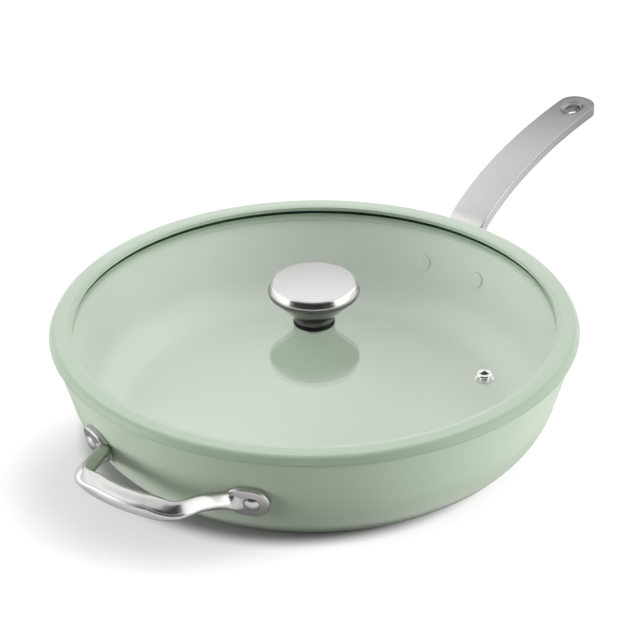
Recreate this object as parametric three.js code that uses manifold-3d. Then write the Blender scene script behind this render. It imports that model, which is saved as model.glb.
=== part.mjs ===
// Frying pan with a glass lid: a coated pan, two riveted cast steel handles and a silicone-rimmed lid.
// Millimetres, +Z up. The origin is the middle of the base on the table; +X runs out along the long handle.
import * as THREE from 'three';
import { mergeVertices } from 'three/addons/utils/BufferGeometryUtils.js';
import Module from 'manifold-3d';

const wasm = await Module();
wasm.setup();
const { degToRad } = THREE.MathUtils;

// Fits
const seatGap = 0.3; // between pieces that rest on each other or are clamped together
const rivetGap = 0.4; // under a flat rivet head, whose seat is slightly curved
const skirtGap = 1; // between the lid's skirt and the inside of the pan
const screwGap = 0.4; // round the knob screw, in its thread and its washers

// Facets
const largeFacets = 56; // round the pan and the lid
const knobFacets = 32;
const smallFacets = 16; // round the rivets, washers and screw
const curveSteps = 3; // in each curved stretch of a profile
const knobSteps = 5; // the same for the knob
const sectionPoints = 16; // round the section of a handle

// Pan body: a flat base, a large corner radius and a straight leaning wall
const rimRadius = 150.3; // outside
const rimHeight = 63.7;
const wallLean = degToRad(16.7); // from upright
const cornerRadius = 50; // outside
const baseLift = degToRad(29.5); // angle at which the corner leaves the base
const wallThickness = 3;
const floorThickness = 5;
const baseRound = 3;
const floorRound = 8;
const rimRound = 0.9;

// Steel disc pressed into the base
const discRadius = 98;
const discThickness = 1.2;

// Rivets and the plates that they hold
const plateThickness = 3.5;
const shankRadius = 2.5;
const innerHeadRadius = 5;
const innerHeadHeight = 1.6;
const outerHeadRadius = 4.8;
const outerHeadHeight = 2;
const headEdge = 0.5; // upright edge of a rivet head

// Long handle
const handleRivetAngle = degToRad(8); // each side of the handle
const handleRivetHeight = 36;
const flangeRadius = 9; // round each rivet
const neckSlope = degToRad(62); // where the neck leaves the flange
const neckLead = 14; // how far the neck keeps that slope
const shoulderReach = 8.9; // from the lid's edge to the shoulder
const shoulderRise = 2.9; // of the shoulder above the pan's rim
const shoulderSlope = degToRad(30.4);
const shoulderLead = 8;
const handleReach = 137; // from the lid's edge to the tip
const tipRise = 29.8; // of the tip above the pan's rim
const tipSlope = degToRad(1);
const neckWidth = 21.5;
const gripWidth = 23.2;
const neckThickness = 6.6;
const gripThickness = 6.4;
const gripSquareness = 3.4; // exponent of the rounded section
const tipLength = 8.5; // of the rounded end
const tipFullness = 0.8; // power of the rounding, below 1 for a squarer end
const hangHoleInset = 15.5; // from the tip to the middle of the hole
const hangHoleLength = 12;
const hangHoleWidth = 8;
const hangHoleBevel = 2;

// Helper handle
const helperRivetAngle = degToRad(22.5); // each side of the handle
const helperRivetHeight = 35;
const lugRadius = 9.5;
const lugLength = 5; // from the rivet to the far end's middle
const rootSpacing = 8; // from the rivet to the root of the arm
const rootDepth = 3; // how far an arm starts inside the wall line, before the wall trims it
const helperReach = 34; // from the wall to the middle of the bar
const helperBow = 1; // how far the bar falls back beside its middle
const helperCornerReach = 29; // from the wall to the bend of an arm
const helperHalfSpan = 31; // from the middle of the handle to a bend
const helperRise = 4.5; // of the bar above the rivets
const armWidth = 9.4;
const barWidth = 13.6;
const armThickness = 8.6;
const barThickness = 11.4;
const barSquareness = 2.4;

// Lid
const ringOverhang = 1.7; // of the silicone rim beyond the pan's rim
const ringHeight = 5.5; // above its seat on the pan
const ringShoulder = 3.4; // rounding of its outer edge
const ringFall = 0.7; // how far its top drops towards that shoulder
const ringFoot = 0.9; // rounding of its lower edge
const lipHeight = 3.2; // rim above the glass
const lipSlope = 4.5; // width of the rounded edge beside the glass
const lipEdge = 0.3; // upright part of that edge
const ringCover = 11.8; // how far the silicone rim reaches in over the glass from the pan's rim
const glassBite = 5; // glass held in the rim
const glassThickness = 4;
const glassCrown = 1; // rise of the middle of the glass
const lowerLipBite = 3.6; // rim under the glass
const skirtDepth = 6.6; // below the pan's rim
const skirtThickness = 3.4;

// Steam vent
const ventInset = 26.2; // from the silicone rim to the middle of the vent
const ventAngle = degToRad(-86.1);
const ventBore = 2.05; // radius
const ventWall = 0.95;
const ventFlange = 4.8; // radius
const ventFlangeThickness = 1.1;
const ventCurl = 3.9; // radius of the rolled lower end
const ventCurlThickness = 0.8;
const ventWasherRadius = 5.4;
const ventWasherThickness = 1;

// Knob
const gasketRadius = 11.9;
const gasketThickness = 2.1;
const knobNeck = 11.5; // radius
const knobNeckHeight = 2.9;
const knobFlare = 1.6; // how far the flare keeps the slope that it starts with
const knobRadius = 26.2;
const knobWaist = 19.2; // height of the widest part above the neck's foot
const knobHeight = 24.2;
const knobTopRadius = 23.6; // of the flat top, inside its bevelled edge
const knobTopCrown = 0.7;
const insertRadius = 5;
const insertLength = 13;
const insertTop = 1.5; // clear space above the insert
const screwRadius = 2.2;
const screwEngagement = 9; // thread inside the insert
const screwHeadRadius = 4;
const screwHeadHeight = 2.2;
const screwRecess = 1.2; // depth of the cross recess
const screwRecessWidth = 1.2;
const screwRecessLength = 4.2;
const softWasherRadius = 7;
const softWasherThickness = 1;
const steelWasherRadius = 6.4;
const steelWasherThickness = 0.8;

// Finishes
const finishes = {
  coating: { color: 0x9fb39b, roughness: 0.42, metalness: 0 },
  silicone: { color: 0xa9bba4, roughness: 0.55, metalness: 0 },
  castSteel: { color: 0xc9c9c7, roughness: 0.3, metalness: 1 },
  brushedSteel: { color: 0xcfcfcd, roughness: 0.35, metalness: 1 },
  glass: { color: 0xdfe8e0, roughness: 0.05, metalness: 0, transparent: true, opacity: 0.35 },
  gasket: { color: 0x111311, roughness: 0.7, metalness: 0 },
};

// Derived places
const wallOut = new THREE.Vector2(Math.cos(wallLean), -Math.sin(wallLean));
const wallUp = new THREE.Vector2(Math.sin(wallLean), Math.cos(wallLean));
const corner = cornerCentre();
const baseAngle = baseLift - Math.PI / 2; // of the corner arc, where it leaves the base
const baseRadius = onCorner(0, baseAngle).x;
const ringRadius = rimRadius + ringOverhang; // outside of the silicone rim
const glassSight = rimRadius - ringCover; // radius of the glass that shows
const ventDistance = glassSight - ventInset; // from the middle of the lid
const lidSeat = rimHeight + seatGap;
const ringTop = lidSeat + ringHeight;
const glassTop = ringTop - lipHeight; // at its edge
const glassRadius = glassSight + glassBite;
const knobFoot = glassTopAt(0) + gasketThickness + 2 * seatGap;
const underGlass = glassTopAt(0) - glassThickness;

function cornerCentre() {
  const onWall = new THREE.Vector2(rimRadius, rimHeight).addScaledVector(wallOut, -cornerRadius);
  const drop = (onWall.y - cornerRadius * Math.cos(baseLift)) / wallUp.y;
  return onWall.addScaledVector(wallUp, -drop);
}

// A point of the corner arc, set out from the pan's outside.
function onCorner(out, angle) {
  const radius = cornerRadius + out;
  return new THREE.Vector2(corner.x + radius * Math.cos(angle), corner.y + radius * Math.sin(angle));
}

// Radius of the straight wall at a height, set out from the pan's outside.
function straightWall(out, height) {
  return rimRadius + out / Math.cos(wallLean) + (height - rimHeight) * Math.tan(wallLean);
}

// Radius and downward tilt of the pan's outside at a height.
function wallAt(height) {
  const arcTop = onCorner(0, -wallLean).y;
  if (height >= arcTop) return { radius: straightWall(0, height), dip: wallLean };
  const dip = Math.asin((corner.y - height) / cornerRadius);
  return { radius: onCorner(0, -dip).x, dip };
}

// Frame on the pan's outside: x runs round the pan, y up the wall, z out of it.
function wallFrame(azimuth, height) {
  const { radius, dip } = wallAt(height);
  const around = new THREE.Vector3(-Math.sin(azimuth), Math.cos(azimuth), 0);
  const out = new THREE.Vector3(Math.cos(azimuth), Math.sin(azimuth), 0).multiplyScalar(Math.cos(dip));
  out.z = -Math.sin(dip);
  const up = out.clone().cross(around);
  const place = new THREE.Matrix4().makeBasis(around, up, out);
  return place.setPosition(radius * Math.cos(azimuth), radius * Math.sin(azimuth), height);
}

// Height of the top of the glass, which is crowned inside the rim and flat in it.
function glassTopAt(radius) {
  return glassTop + glassCrown * Math.max(0, 1 - (radius / glassSight) ** 2);
}

// Solids and meshes
function revolve(points, facets) {
  return new THREE.LatheGeometry(points, facets).rotateX(Math.PI / 2);
}

function pointsOf(pairs) {
  return pairs.map(([radius, height]) => new THREE.Vector2(radius, height));
}

// A plain round bar along Z, between two heights.
function bar(radius, low, high) {
  return revolve(pointsOf([[0, low], [radius, low], [radius, high], [0, high]]), smallFacets);
}

// A ring with a rectangular section, between two heights.
function flatRing(bore, radius, low, high) {
  const section = [[bore, low], [radius, low], [radius, high], [bore, high], [bore, low]];
  return revolve(pointsOf(section), smallFacets);
}

function solidOf(geometry) {
  geometry.deleteAttribute('normal');
  geometry.deleteAttribute('uv');
  const merged = mergeVertices(geometry);
  const index = merged.index.array;
  const corners = [];
  for (let i = 0; i < index.length; i += 3) {
    const [a, b, c] = [index[i], index[i + 1], index[i + 2]];
    if (a !== b && b !== c && c !== a) corners.push(a, b, c);
  }
  const vertProperties = new Float32Array(merged.attributes.position.array);
  return new wasm.Manifold(new wasm.Mesh({ numProp: 3, vertProperties, triVerts: new Uint32Array(corners) }));
}

function geometryOf(solid) {
  const { vertProperties, triVerts } = solid.getMesh();
  const geometry = new THREE.BufferGeometry();
  geometry.setAttribute('position', new THREE.BufferAttribute(vertProperties, 3));
  geometry.setIndex(new THREE.BufferAttribute(triVerts, 1));
  return geometry;
}

function mesh(name, geometry, finish) {
  const made = new THREE.Mesh(geometry, new THREE.MeshStandardMaterial(finishes[finish]));
  made.name = name;
  return made;
}

// A closed skin over a row of rings, each counterclockwise about the way that the row runs.
function loft(rings) {
  const count = rings[0].length;
  const last = (rings.length - 1) * count;
  const index = [];
  for (let ring = 0; ring < rings.length - 1; ring += 1) {
    for (let j = 0; j < count; j += 1) {
      const a = ring * count + j;
      const b = ring * count + ((j + 1) % count);
      index.push(a, b, b + count, a, b + count, a + count);
    }
  }
  for (let j = 1; j < count - 1; j += 1) {
    index.push(0, j + 1, j, last, last + j, last + j + 1);
  }
  const geometry = new THREE.BufferGeometry().setFromPoints(rings.flat());
  geometry.setIndex(index);
  return geometry;
}

// A rounded section square to a path: width lies level across it and thickness up from it.
function section(centre, along, width, thickness, squareness) {
  const across = new THREE.Vector3(0, 0, 1).cross(along).normalize();
  const up = along.clone().cross(across).normalize();
  const bulge = (value) => Math.sign(value) * Math.abs(value) ** (2 / squareness);
  return Array.from({ length: sectionPoints }, (_, j) => {
    const angle = ((j + 0.5) / sectionPoints) * 2 * Math.PI;
    return centre.clone()
      .addScaledVector(across, (width / 2) * bulge(Math.cos(angle)))
      .addScaledVector(up, (thickness / 2) * bulge(Math.sin(angle)));
  });
}

// A flat outline with two round ends, along x.
function stadium(from, to, radius) {
  const outline = new THREE.Shape();
  outline.absarc(to, 0, radius, -Math.PI / 2, Math.PI / 2, false);
  outline.absarc(from, 0, radius, Math.PI / 2, 1.5 * Math.PI, false);
  outline.closePath();
  return outline;
}

// Everything inside the pan's outside, set out by a distance.
function wallSolid(out) {
  const foot = onCorner(out, baseAngle);
  const profile = new THREE.Path();
  profile.moveTo(0, foot.y);
  profile.lineTo(foot.x, foot.y);
  profile.absarc(corner.x, corner.y, cornerRadius + out, baseAngle, -wallLean, false);
  profile.lineTo(straightWall(out, rimHeight), rimHeight);
  profile.lineTo(0, rimHeight);
  return solidOf(revolve(profile.getPoints(curveSteps), largeFacets));
}

// A plate that follows the wall, with a flat outline drawn in a frame on it.
function wallPlate(outline, place) {
  const depth = 2 * (plateThickness + wallThickness + flangeRadius);
  const curveSegments = smallFacets / 2;
  const prism = new THREE.ExtrudeGeometry(outline, { depth, bevelEnabled: false, curveSegments });
  prism.translate(0, 0, -depth / 2).applyMatrix4(place);
  return solidOf(prism).intersect(wallSolid(seatGap + plateThickness));
}

function rivetHole(place) {
  const reach = 2 * (wallThickness + plateThickness);
  return solidOf(bar(shankRadius + seatGap, -reach, reach).applyMatrix4(place));
}

const handleRivets = [handleRivetAngle, -handleRivetAngle]
  .map((angle) => wallFrame(angle, handleRivetHeight));
const helperRivets = [helperRivetAngle, -helperRivetAngle]
  .map((angle) => wallFrame(Math.PI + angle, helperRivetHeight));

function panBody() {
  const recess = discThickness + seatGap;
  const recessRadius = discRadius + seatGap;
  const innerRadius = cornerRadius - wallThickness;
  const floorAngle = -Math.asin((corner.y - floorThickness) / innerRadius);
  const floorEdge = onCorner(-wallThickness, floorAngle);
  const rimInside = straightWall(-wallThickness, rimHeight);
  const shoulder = rimHeight - rimRound;

  const profile = new THREE.Path();
  profile.moveTo(0, recess);
  profile.lineTo(recessRadius, recess);
  profile.lineTo(recessRadius, 0);
  profile.lineTo(baseRadius - baseRound, 0);
  const cornerStart = baseAngle + baseRound / cornerRadius;
  const rise = onCorner(0, cornerStart);
  profile.quadraticCurveTo(baseRadius, 0, rise.x, rise.y);
  profile.absarc(corner.x, corner.y, cornerRadius, cornerStart, -wallLean, false);
  profile.lineTo(straightWall(0, shoulder), shoulder);
  profile.quadraticCurveTo(rimRadius, rimHeight, rimRadius - rimRound, rimHeight);
  profile.lineTo(rimInside + rimRound, rimHeight);
  profile.quadraticCurveTo(rimInside, rimHeight, straightWall(-wallThickness, shoulder), shoulder);
  profile.absarc(corner.x, corner.y, innerRadius, -wallLean, floorAngle + floorRound / innerRadius, true);
  profile.quadraticCurveTo(floorEdge.x, floorThickness, floorEdge.x - floorRound, floorThickness);
  profile.lineTo(0, floorThickness);

  let solid = solidOf(revolve(profile.getPoints(curveSteps), largeFacets));
  for (const place of [...handleRivets, ...helperRivets]) solid = solid.subtract(rivetHole(place));
  return mesh('pan_body', geometryOf(solid), 'coating');
}

function inductionDisc() {
  const disc = pointsOf([[0, 0], [discRadius, 0], [discRadius, discThickness], [0, discThickness]]);
  return mesh('induction_base_disc', revolve(disc, largeFacets), 'brushedSteel');
}

function longHandle() {
  const root = wallAt(handleRivetHeight);
  const start = new THREE.Vector3(root.radius + seatGap, 0, handleRivetHeight);
  const shoulder = new THREE.Vector3(ringRadius + shoulderReach, 0, rimHeight + shoulderRise);
  const tip = new THREE.Vector3(ringRadius + handleReach, 0, rimHeight + tipRise);
  const slope = (angle) => new THREE.Vector3(Math.cos(angle), 0, Math.sin(angle));

  // The grip is one sweep whose end tangents meet above its middle.
  const span = tip.clone().sub(shoulder);
  const overTip = span.x * Math.sin(tipSlope) - span.z * Math.cos(tipSlope);
  const lead = overTip / Math.sin(tipSlope - shoulderSlope);
  const crest = shoulder.clone().addScaledVector(slope(shoulderSlope), lead);
  const grip = new THREE.QuadraticBezierCurve3(shoulder, crest, tip);
  const neck = new THREE.CubicBezierCurve3(
    start,
    start.clone().addScaledVector(slope(neckSlope), neckLead),
    shoulder.clone().addScaledVector(slope(shoulderSlope), -shoulderLead),
    shoulder,
  );

  const neckRings = 7;
  const gripRings = 8;
  const tipRings = 5;
  const rings = [];
  for (let i = 0; i < neckRings; i += 1) {
    const u = i / neckRings;
    rings.push(section(neck.getPointAt(u), neck.getTangentAt(u), neckWidth, neckThickness, gripSquareness));
  }
  const gripLength = grip.getLength();
  const tipStart = 1 - tipLength / gripLength;
  for (let i = 0; i < gripRings; i += 1) {
    const u = (tipStart * i) / gripRings;
    const width = THREE.MathUtils.lerp(neckWidth, gripWidth, i / gripRings);
    const thickness = THREE.MathUtils.lerp(neckThickness, gripThickness, i / gripRings);
    rings.push(section(grip.getPointAt(u), grip.getTangentAt(u), width, thickness, gripSquareness));
  }
  // The end is round in plan.
  for (let i = 0; i < tipRings; i += 1) {
    const turn = (i / tipRings) * (Math.PI / 2);
    const u = tipStart + (1 - tipStart) * Math.sin(turn);
    const width = gripWidth * Math.cos(turn) ** tipFullness;
    rings.push(section(grip.getPointAt(u), grip.getTangentAt(u), width, gripThickness, gripSquareness));
  }

  // The hanging hole is square to the handle and dished at the top.
  const holeAt = 1 - hangHoleInset / gripLength;
  const along = grip.getTangentAt(holeAt);
  const across = new THREE.Vector3(0, 1, 0);
  const up = along.clone().cross(across);
  const place = new THREE.Matrix4().makeBasis(along, across, up).setPosition(grip.getPointAt(holeAt));
  const halfRun = (hangHoleLength - hangHoleWidth) / 2;
  const outline = stadium(-halfRun, halfRun, hangHoleWidth / 2);
  const curveSegments = smallFacets / 4;
  const depth = 2 * gripThickness;
  const through = new THREE.ExtrudeGeometry(outline, { depth, bevelEnabled: false, curveSegments });
  through.translate(0, 0, -gripThickness).applyMatrix4(place);
  const dish = new THREE.ExtrudeGeometry(outline, {
    depth: gripThickness,
    bevelSize: hangHoleBevel,
    bevelThickness: hangHoleBevel,
    bevelSegments: 1,
    curveSegments,
  });
  dish.translate(0, 0, gripThickness / 2).applyMatrix4(place);

  const rivetRun = root.radius * Math.sin(handleRivetAngle);
  const flange = wallPlate(stadium(-rivetRun, rivetRun, flangeRadius), wallFrame(0, handleRivetHeight));
  let solid = solidOf(loft(rings)).subtract(solidOf(through)).subtract(solidOf(dish)).add(flange);
  solid = solid.subtract(wallSolid(seatGap));
  for (const rivet of handleRivets) solid = solid.subtract(rivetHole(rivet));
  return mesh('long_handle', geometryOf(solid), 'castSteel');
}

function helperHandle() {
  const wall = wallAt(helperRivetHeight).radius;
  const rootAngle = helperRivetAngle - rootSpacing / wall;
  const barHeight = helperRivetHeight + helperRise;
  const rootReach = wall - rootDepth;
  const root = new THREE.Vector3(-rootReach, 0, helperRivetHeight);
  root.applyAxisAngle(new THREE.Vector3(0, 0, 1), -rootAngle);
  const bend = new THREE.Vector3(-(wall + helperCornerReach), helperHalfSpan, barHeight);
  const beside = new THREE.Vector3(-(wall + helperReach - helperBow), helperHalfSpan / 2, barHeight);
  const half = [root, root.clone().lerp(bend, 0.5), bend, beside];
  const mirrored = half.map(({ x, y, z }) => new THREE.Vector3(x, -y, z)).reverse();
  const middle = new THREE.Vector3(-(wall + helperReach), 0, barHeight);
  const path = new THREE.CatmullRomCurve3([...half, middle, ...mirrored]);

  const ringCount = 27;
  const rings = Array.from({ length: ringCount }, (_, i) => {
    const u = i / (ringCount - 1);
    const centre = path.getPointAt(u);
    const taper = THREE.MathUtils.smoothstep(Math.abs(centre.y), helperHalfSpan / 2, root.y);
    const width = THREE.MathUtils.lerp(barWidth, armWidth, taper);
    const thickness = THREE.MathUtils.lerp(barThickness, armThickness, taper);
    return section(centre, path.getTangentAt(u), width, thickness, barSquareness);
  });

  let solid = solidOf(loft(rings));
  helperRivets.forEach((rivet, side) => {
    const toRoot = side === 0 ? -lugLength : lugLength;
    solid = solid.add(wallPlate(stadium(Math.min(0, toRoot), Math.max(0, toRoot), lugRadius), rivet));
  });
  solid = solid.subtract(wallSolid(seatGap));
  for (const rivet of helperRivets) solid = solid.subtract(rivetHole(rivet));
  return mesh('helper_handle', geometryOf(solid), 'castSteel');
}

// A solid rivet: a flat coated head inside the pan, a shank, and a domed head outside the plate.
function rivet(name, place) {
  const inside = -wallThickness - rivetGap;
  const outside = seatGap + plateThickness + rivetGap;
  const profile = new THREE.Path();
  profile.moveTo(0, inside - innerHeadHeight);
  profile.quadraticCurveTo(innerHeadRadius, inside - innerHeadHeight, innerHeadRadius, inside - headEdge);
  profile.lineTo(innerHeadRadius, inside);
  profile.lineTo(shankRadius, inside);
  profile.lineTo(shankRadius, outside);
  profile.lineTo(outerHeadRadius, outside);
  profile.lineTo(outerHeadRadius, outside + headEdge);
  profile.quadraticCurveTo(outerHeadRadius, outside + outerHeadHeight, 0, outside + outerHeadHeight);
  const made = mesh(name, revolve(profile.getPoints(curveSteps), smallFacets), 'castSteel');
  made.applyMatrix4(place);
  return made;
}

function lidGlass() {
  const hole = screwRadius + screwGap;
  const profile = new THREE.Path();
  profile.moveTo(hole, underGlass);
  profile.quadraticCurveTo(glassSight / 2, underGlass, glassSight, glassTop - glassThickness);
  profile.lineTo(glassRadius, glassTop - glassThickness);
  profile.lineTo(glassRadius, glassTop);
  profile.lineTo(glassSight, glassTop);
  profile.quadraticCurveTo(glassSight / 2, glassTopAt(0), hole, glassTopAt(0));
  profile.lineTo(hole, underGlass);
  const disc = solidOf(revolve(profile.getPoints(curveSteps), largeFacets));
  const ventHole = bar(ventBore + ventWall + seatGap, underGlass - glassThickness, glassTop + glassThickness);
  ventHole.translate(ventDistance * Math.cos(ventAngle), ventDistance * Math.sin(ventAngle), 0);
  return mesh('lid_glass', geometryOf(disc.subtract(solidOf(ventHole))), 'glass');
}

// The rim grips the glass in a groove, rests on the pan and reaches down inside it with a skirt.
function siliconeRim() {
  const grooveTop = glassTop + seatGap;
  const grooveFoot = glassTop - glassThickness - seatGap;
  const grooveRadius = glassRadius + seatGap;
  const skirtOut = -wallThickness - skirtGap;
  const skirtFoot = rimHeight - skirtDepth;
  const skirtInside = straightWall(skirtOut, skirtFoot) - skirtThickness;
  const lowerLip = glassRadius - lowerLipBite;

  const profile = new THREE.Path();
  profile.moveTo(glassSight, grooveTop);
  profile.lineTo(glassSight, grooveTop + lipEdge);
  profile.quadraticCurveTo(glassSight, ringTop, glassSight + lipSlope, ringTop);
  profile.lineTo(ringRadius - ringShoulder, ringTop - ringFall);
  profile.quadraticCurveTo(ringRadius, ringTop - ringFall, ringRadius, ringTop - ringFall - ringShoulder / 2);
  profile.lineTo(ringRadius, lidSeat + ringFoot);
  profile.quadraticCurveTo(ringRadius, lidSeat, ringRadius - ringFoot, lidSeat);
  profile.lineTo(straightWall(skirtOut, lidSeat), lidSeat);
  profile.lineTo(straightWall(skirtOut, skirtFoot), skirtFoot);
  profile.lineTo(skirtInside, skirtFoot);
  profile.lineTo(lowerLip, grooveFoot - lipHeight);
  profile.lineTo(lowerLip, grooveFoot);
  profile.lineTo(grooveRadius, grooveFoot);
  profile.lineTo(grooveRadius, grooveTop);
  profile.lineTo(glassSight, grooveTop);
  const ring = revolve(profile.getPoints(curveSteps).reverse(), largeFacets);
  return mesh('lid_silicone_rim', ring, 'silicone');
}

// Heights of the vent's seats on the glass.
const ventTop = glassTopAt(ventDistance) + seatGap;
const ventFoot = glassTopAt(ventDistance) - glassThickness - seatGap;
const ventCurlTop = ventFoot - ventWasherThickness - seatGap;

function steamVentEyelet() {
  const tube = ventBore + ventWall;
  const top = ventTop + ventFlangeThickness;
  const profile = new THREE.Path();
  profile.moveTo(ventBore, ventCurlTop - ventCurlThickness);
  profile.lineTo(ventCurl, ventCurlTop - ventCurlThickness);
  profile.lineTo(ventCurl, ventCurlTop);
  profile.lineTo(tube, ventCurlTop);
  profile.lineTo(tube, ventTop);
  profile.lineTo(ventFlange, ventTop);
  profile.quadraticCurveTo(ventFlange, top, tube, top);
  profile.quadraticCurveTo(ventBore, top, ventBore, top - ventWall);
  profile.lineTo(ventBore, ventCurlTop - ventCurlThickness);
  return mesh('steam_vent_eyelet', revolve(profile.getPoints(curveSteps), smallFacets), 'brushedSteel');
}

function steamVentWasher() {
  const bore = ventBore + ventWall + seatGap;
  const ring = flatRing(bore, ventWasherRadius, ventFoot - ventWasherThickness, ventFoot);
  return mesh('steam_vent_washer', ring, 'brushedSteel');
}

// A mushroom knob with a hollow for the threaded insert.
function lidKnob() {
  const boreRadius = insertRadius + seatGap;
  const boreTop = insertLength + insertTop;
  const topEdge = knobHeight - knobTopCrown;
  const profile = new THREE.Path();
  profile.moveTo(0, boreTop);
  profile.lineTo(boreRadius, boreTop);
  profile.lineTo(boreRadius, 0);
  profile.lineTo(knobNeck, 0);
  profile.lineTo(knobNeck, knobNeckHeight);
  profile.bezierCurveTo(
    knobNeck + knobFlare, knobNeckHeight + knobFlare,
    knobRadius, knobWaist - knobFlare,
    knobRadius, knobWaist,
  );
  profile.lineTo(knobTopRadius, topEdge);
  profile.quadraticCurveTo(knobTopRadius / 2, knobHeight, 0, knobHeight);
  const knob = mesh('lid_knob', revolve(profile.getPoints(knobSteps), knobFacets), 'brushedSteel');
  knob.position.z = knobFoot;
  return knob;
}

function knobInsert() {
  const insert = flatRing(screwRadius + screwGap, insertRadius, seatGap, insertLength);
  const bush = mesh('knob_threaded_insert', insert, 'brushedSteel');
  bush.position.z = knobFoot;
  return bush;
}

function knobGasket() {
  const foot = glassTopAt(0) + seatGap;
  const ring = flatRing(screwRadius + screwGap, gasketRadius, foot, foot + gasketThickness);
  return mesh('knob_gasket', ring, 'gasket');
}

// Heights of the washers and the screw head under the glass.
const softWasherTop = underGlass - seatGap;
const steelWasherTop = softWasherTop - softWasherThickness - seatGap;
const screwHeadTop = steelWasherTop - steelWasherThickness - seatGap;

function knobSoftWasher() {
  const ring = flatRing(
    screwRadius + screwGap, softWasherRadius, softWasherTop - softWasherThickness, softWasherTop,
  );
  return mesh('knob_soft_washer', ring, 'silicone');
}

function knobSteelWasher() {
  const ring = flatRing(
    screwRadius + screwGap, steelWasherRadius, steelWasherTop - steelWasherThickness, steelWasherTop,
  );
  return mesh('knob_steel_washer', ring, 'brushedSteel');
}

// The screw comes up through the glass into the insert, with a cross recess in its head.
function knobScrew() {
  const headFoot = screwHeadTop - screwHeadHeight;
  const profile = new THREE.Path();
  profile.moveTo(0, headFoot);
  profile.quadraticCurveTo(screwHeadRadius, headFoot, screwHeadRadius, screwHeadTop);
  profile.lineTo(screwRadius, screwHeadTop);
  profile.lineTo(screwRadius, knobFoot + screwEngagement);
  profile.lineTo(0, knobFoot + screwEngagement);
  let screw = solidOf(revolve(profile.getPoints(curveSteps), smallFacets));
  for (const turn of [0, Math.PI / 2]) {
    const slot = new THREE.BoxGeometry(screwRecessLength, screwRecessWidth, 2 * screwRecess);
    screw = screw.subtract(solidOf(slot.rotateZ(turn).translate(0, 0, headFoot)));
  }
  return mesh('knob_screw', geometryOf(screw), 'brushedSteel');
}

const vent = new THREE.Group();
vent.position.set(ventDistance * Math.cos(ventAngle), ventDistance * Math.sin(ventAngle), 0);
vent.add(steamVentEyelet(), steamVentWasher());

const knob = new THREE.Group();
knob.add(lidKnob(), knobInsert(), knobGasket(), knobSoftWasher(), knobSteelWasher(), knobScrew());

const lid = new THREE.Group();
lid.add(lidGlass(), siliconeRim(), vent, knob);

const pan = new THREE.Group();
pan.add(panBody(), inductionDisc(), longHandle(), helperHandle());
pan.add(rivet('long_handle_rivet_left', handleRivets[0]), rivet('long_handle_rivet_right', handleRivets[1]));
pan.add(rivet('helper_rivet_right', helperRivets[0]), rivet('helper_rivet_left', helperRivets[1]));

const fryingPanWithLid = new THREE.Group();
fryingPanWithLid.name = 'frying_pan_with_lid';
fryingPanWithLid.add(pan, lid);

export default fryingPanWithLid;
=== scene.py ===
import bpy
import bmesh
import numpy as np
from mathutils import Matrix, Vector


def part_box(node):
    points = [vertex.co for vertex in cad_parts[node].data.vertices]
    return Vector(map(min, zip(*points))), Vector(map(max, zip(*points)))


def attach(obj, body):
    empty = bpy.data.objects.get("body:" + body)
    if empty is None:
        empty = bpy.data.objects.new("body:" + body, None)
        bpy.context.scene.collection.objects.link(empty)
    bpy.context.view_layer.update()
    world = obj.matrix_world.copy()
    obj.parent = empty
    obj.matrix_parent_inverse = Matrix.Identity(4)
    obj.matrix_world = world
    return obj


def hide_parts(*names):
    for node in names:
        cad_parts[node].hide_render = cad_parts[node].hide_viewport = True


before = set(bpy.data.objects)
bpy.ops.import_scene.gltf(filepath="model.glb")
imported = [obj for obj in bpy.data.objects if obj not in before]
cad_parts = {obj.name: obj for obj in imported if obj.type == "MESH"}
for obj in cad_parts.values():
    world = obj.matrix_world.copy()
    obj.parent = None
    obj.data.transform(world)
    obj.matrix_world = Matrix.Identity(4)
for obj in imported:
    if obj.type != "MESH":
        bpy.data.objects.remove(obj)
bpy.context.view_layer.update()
mm = 0.001


# Colours and nodes

# an sRGB hex value as a linear colour
def linear(code):
    value = np.array([int(code[i:i + 2], 16) for i in (1, 3, 5)]) / 255
    value = np.where(value <= 0.04045, value / 12.92, ((value + 0.055) / 1.055) ** 2.4)
    return (*value, 1.0)


# one node: settings are its properties, values its sockets, and a socket given as a value becomes a link
def addNode(tree, kind, values={}, **settings):
    node = tree.nodes.new(kind)
    for name, value in settings.items():
        setattr(node, name, value)
    for name, value in values.items():
        if isinstance(value, bpy.types.NodeSocket):
            tree.links.new(value, node.inputs[name])
        else:
            node.inputs[name].default_value = value
    return node


# an empty material and its nodes
def newMaterial(name):
    material = bpy.data.materials.new(name)
    material.use_nodes = True
    material.node_tree.nodes.clear()
    return material, material.node_tree


# Materials

# Ceramic non-stick coating, sprayed and baked: satin, with a faint orange peel, fine mottling and a pale
# bloom at grazing angles; painted shade makes it deeper in tone low on the outside and up the wall inside
coatingLook = dict(colour="#A3B59D", shade="#9DAF97", bloom=0.58, bloomFall=6, bloomSpread=0.45,
                   gloss=(0.36, 0.44), mottle=2.5, peel=1.6, peelDepth=0.05, heights=(3, 16),
                   paintedShadeScales=(0.62, 1), ior=1.5)
insideLook = dict(coatingLook, colour="#BBC6B8", shade="#B8C4B4", bloom=0, gloss=(0.26, 0.275),
                  mottle=5, peel=2.2, heights=(8, 28), paintedShadeScales=(1, 0.83))


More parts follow.
